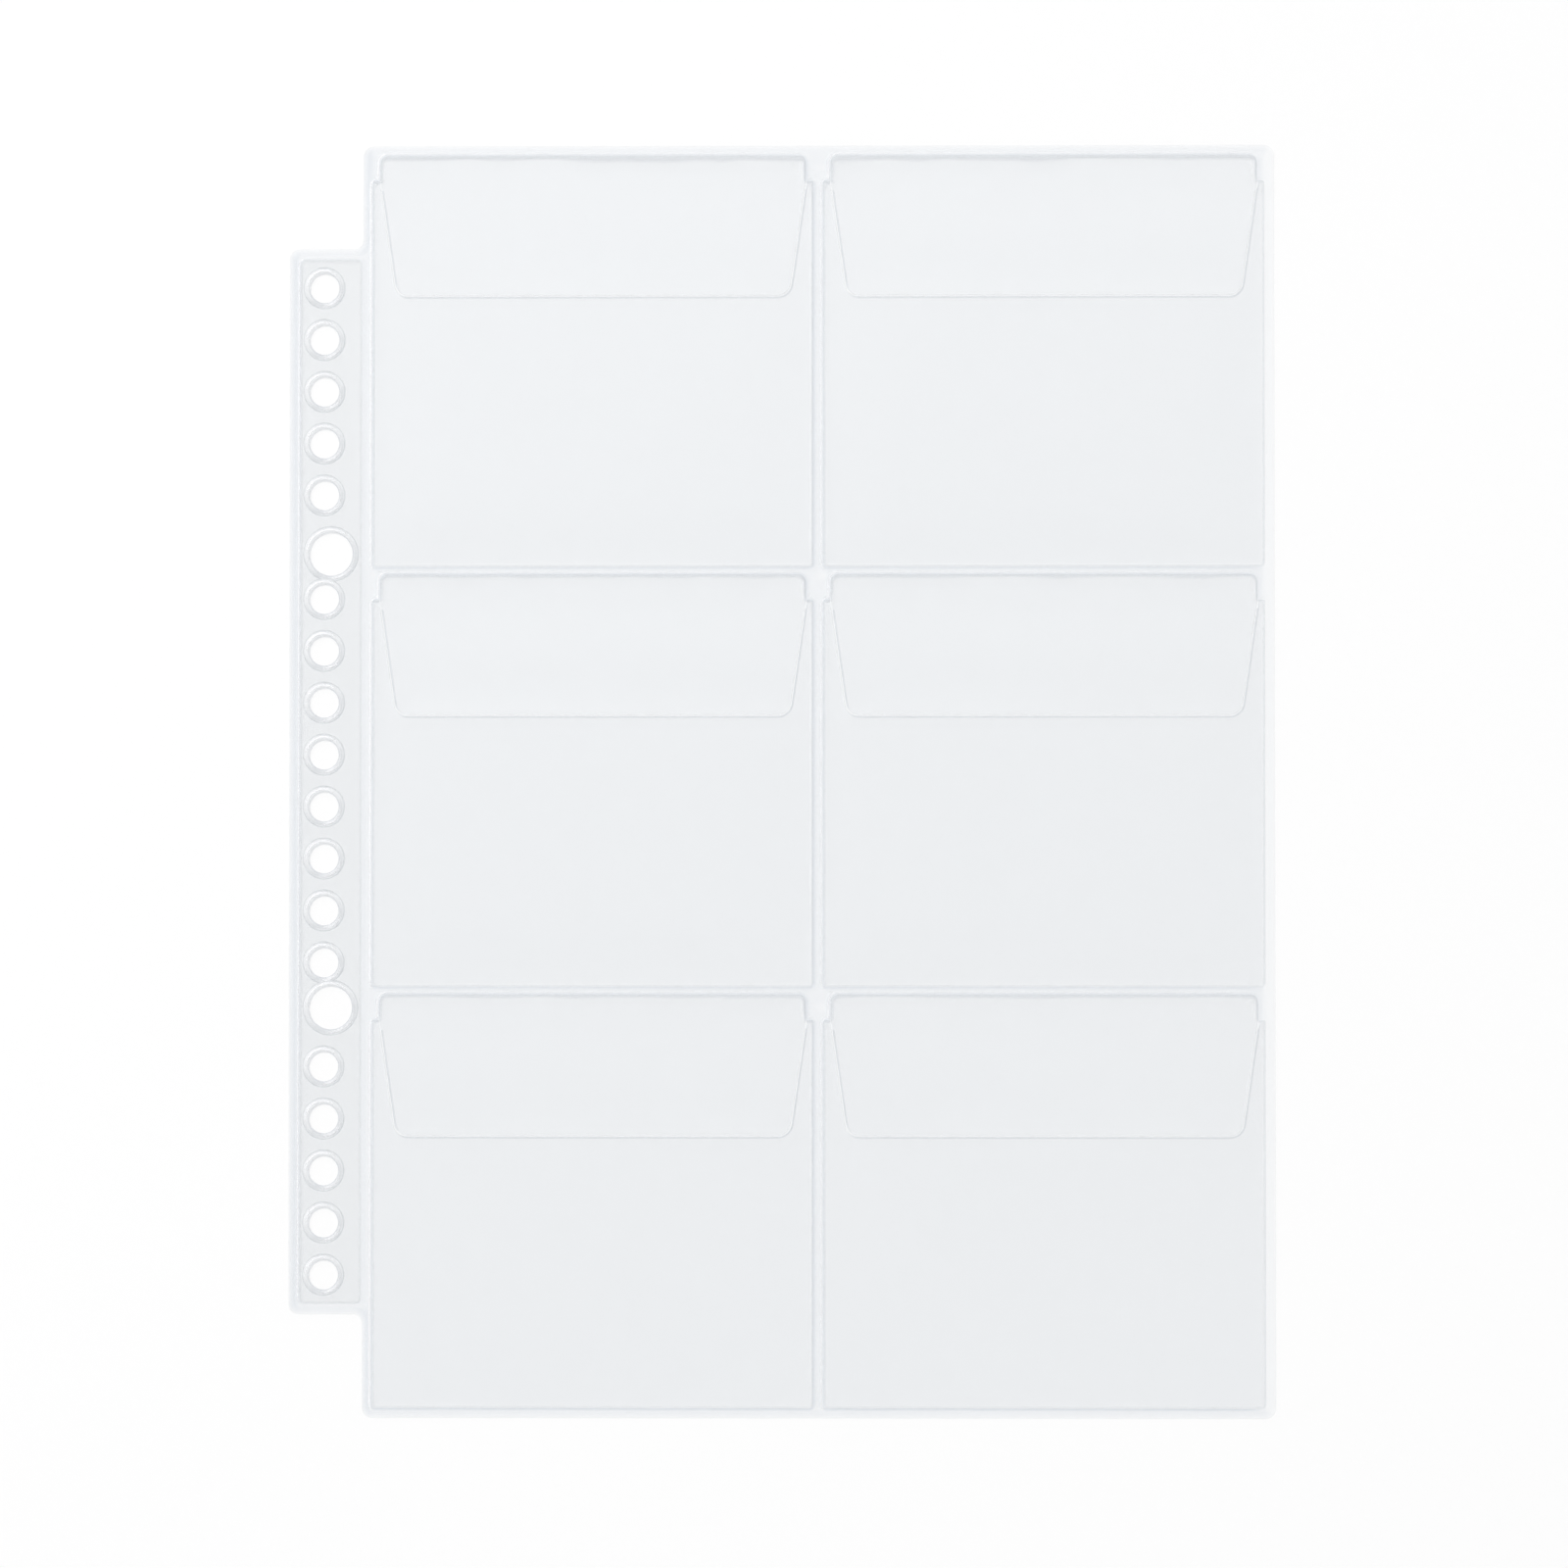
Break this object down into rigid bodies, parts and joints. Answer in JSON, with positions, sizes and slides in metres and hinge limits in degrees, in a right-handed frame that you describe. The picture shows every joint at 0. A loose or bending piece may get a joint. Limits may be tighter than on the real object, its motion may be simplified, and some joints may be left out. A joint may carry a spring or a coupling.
{
  "type": "planner pocket refill",
  "caption": "Clear vinyl planner page with a punched binding strip and a grid of welded pockets, each closed by a die-cut flap that folds open.",
  "frame": {"origin": "middle of the outline, on the back face that the page lies on", "axes": "+X from the binding strip to the outer edge, +Y to the top edge, +Z out of the front film"},
  "size_m": [0.1802, 0.2328, 0.0008],
  "materials": {
    "back_film": "clear soft vinyl film, faint cool grey, smooth with a soft gloss",
    "front_film": "clear soft vinyl film, faint cool grey, smooth and glossy",
    "fused_seam": "two films fused to one, clearer and a little bluer, with a fine pressed texture"
  },
  "bodies": {
    "page": {"page_back_film": "back_film", "spine_seam": "fused_seam", "centre_seam": "fused_seam", "outer_seam": "fused_seam", "top_row_seam_left": "fused_seam", "middle_row_seam_left": "fused_seam", "bottom_row_seam_left": "fused_seam", "top_row_seam_right": "fused_seam", "middle_row_seam_right": "fused_seam", "bottom_row_seam_right": "fused_seam", "foot_seam_left": "fused_seam", "foot_seam_right": "fused_seam", "pocket_front_top_left": "front_film", "pocket_front_middle_left": "front_film", "pocket_front_bottom_left": "front_film", "pocket_front_top_right": "front_film", "pocket_front_middle_right": "front_film", "pocket_front_bottom_right": "front_film", "flap_root_top_left": "front_film", "flap_root_middle_left": "front_film", "flap_root_bottom_left": "front_film", "flap_root_top_right": "front_film", "flap_root_middle_right": "front_film", "flap_root_bottom_right": "front_film"},
    "binding_strip": {"strip_back_film": "back_film", "strip_front_film": "front_film", "strip_edge_seam": "fused_seam", "strip_top_seam": "fused_seam", "strip_foot_seam": "fused_seam", "hole_ring_01": "fused_seam", "hole_ring_02": "fused_seam", "hole_ring_03": "fused_seam", "hole_ring_04": "fused_seam", "hole_ring_05": "fused_seam", "hole_ring_06_07": "fused_seam", "hole_ring_08": "fused_seam", "hole_ring_09": "fused_seam", "hole_ring_10": "fused_seam", "hole_ring_11": "fused_seam", "hole_ring_12": "fused_seam", "hole_ring_13": "fused_seam", "hole_ring_14_15": "fused_seam", "hole_ring_16": "fused_seam", "hole_ring_17": "fused_seam", "hole_ring_18": "fused_seam", "hole_ring_19": "fused_seam", "hole_ring_20": "fused_seam"},
    "top_left_flap": {"flap_top_left": "front_film"},
    "middle_left_flap": {"flap_middle_left": "front_film"},
    "bottom_left_flap": {"flap_bottom_left": "front_film"},
    "top_right_flap": {"flap_top_right": "front_film"},
    "middle_right_flap": {"flap_middle_right": "front_film"},
    "bottom_right_flap": {"flap_bottom_right": "front_film"}
  },
  "joints": [
    {"name": "strip_fold", "type": "hinge", "parent": "page", "child": "binding_strip", "pos_m": [-0.0767, 0, 0.00085], "axis": [0, 1, 0], "range_deg": [0, 90], "stiffness_Nm_per_rad": 0.0008},
    {"name": "top_left_flap_fold", "type": "hinge", "parent": "page", "child": "top_left_flap", "pos_m": [-0.03453, 0.10983, 0.00085], "axis": [-1, 0, 0], "range_deg": [0, 170], "stiffness_Nm_per_rad": 0.00025},
    {"name": "middle_left_flap_fold", "type": "hinge", "parent": "page", "child": "middle_left_flap", "pos_m": [-0.03453, 0.03302, 0.00085], "axis": [-1, 0, 0], "range_deg": [0, 170], "stiffness_Nm_per_rad": 0.00025},
    {"name": "bottom_left_flap_fold", "type": "hinge", "parent": "page", "child": "bottom_left_flap", "pos_m": [-0.03453, -0.04378, 0.00085], "axis": [-1, 0, 0], "range_deg": [0, 170], "stiffness_Nm_per_rad": 0.00025},
    {"name": "top_right_flap_fold", "type": "hinge", "parent": "page", "child": "top_right_flap", "pos_m": [0.04797, 0.10983, 0.00085], "axis": [-1, 0, 0], "range_deg": [0, 170], "stiffness_Nm_per_rad": 0.00025},
    {"name": "middle_right_flap_fold", "type": "hinge", "parent": "page", "child": "middle_right_flap", "pos_m": [0.04797, 0.03302, 0.00085], "axis": [-1, 0, 0], "range_deg": [0, 170], "stiffness_Nm_per_rad": 0.00025},
    {"name": "bottom_right_flap_fold", "type": "hinge", "parent": "page", "child": "bottom_right_flap", "pos_m": [0.04797, -0.04378, 0.00085], "axis": [-1, 0, 0], "range_deg": [0, 170], "stiffness_Nm_per_rad": 0.00025}
  ]
}
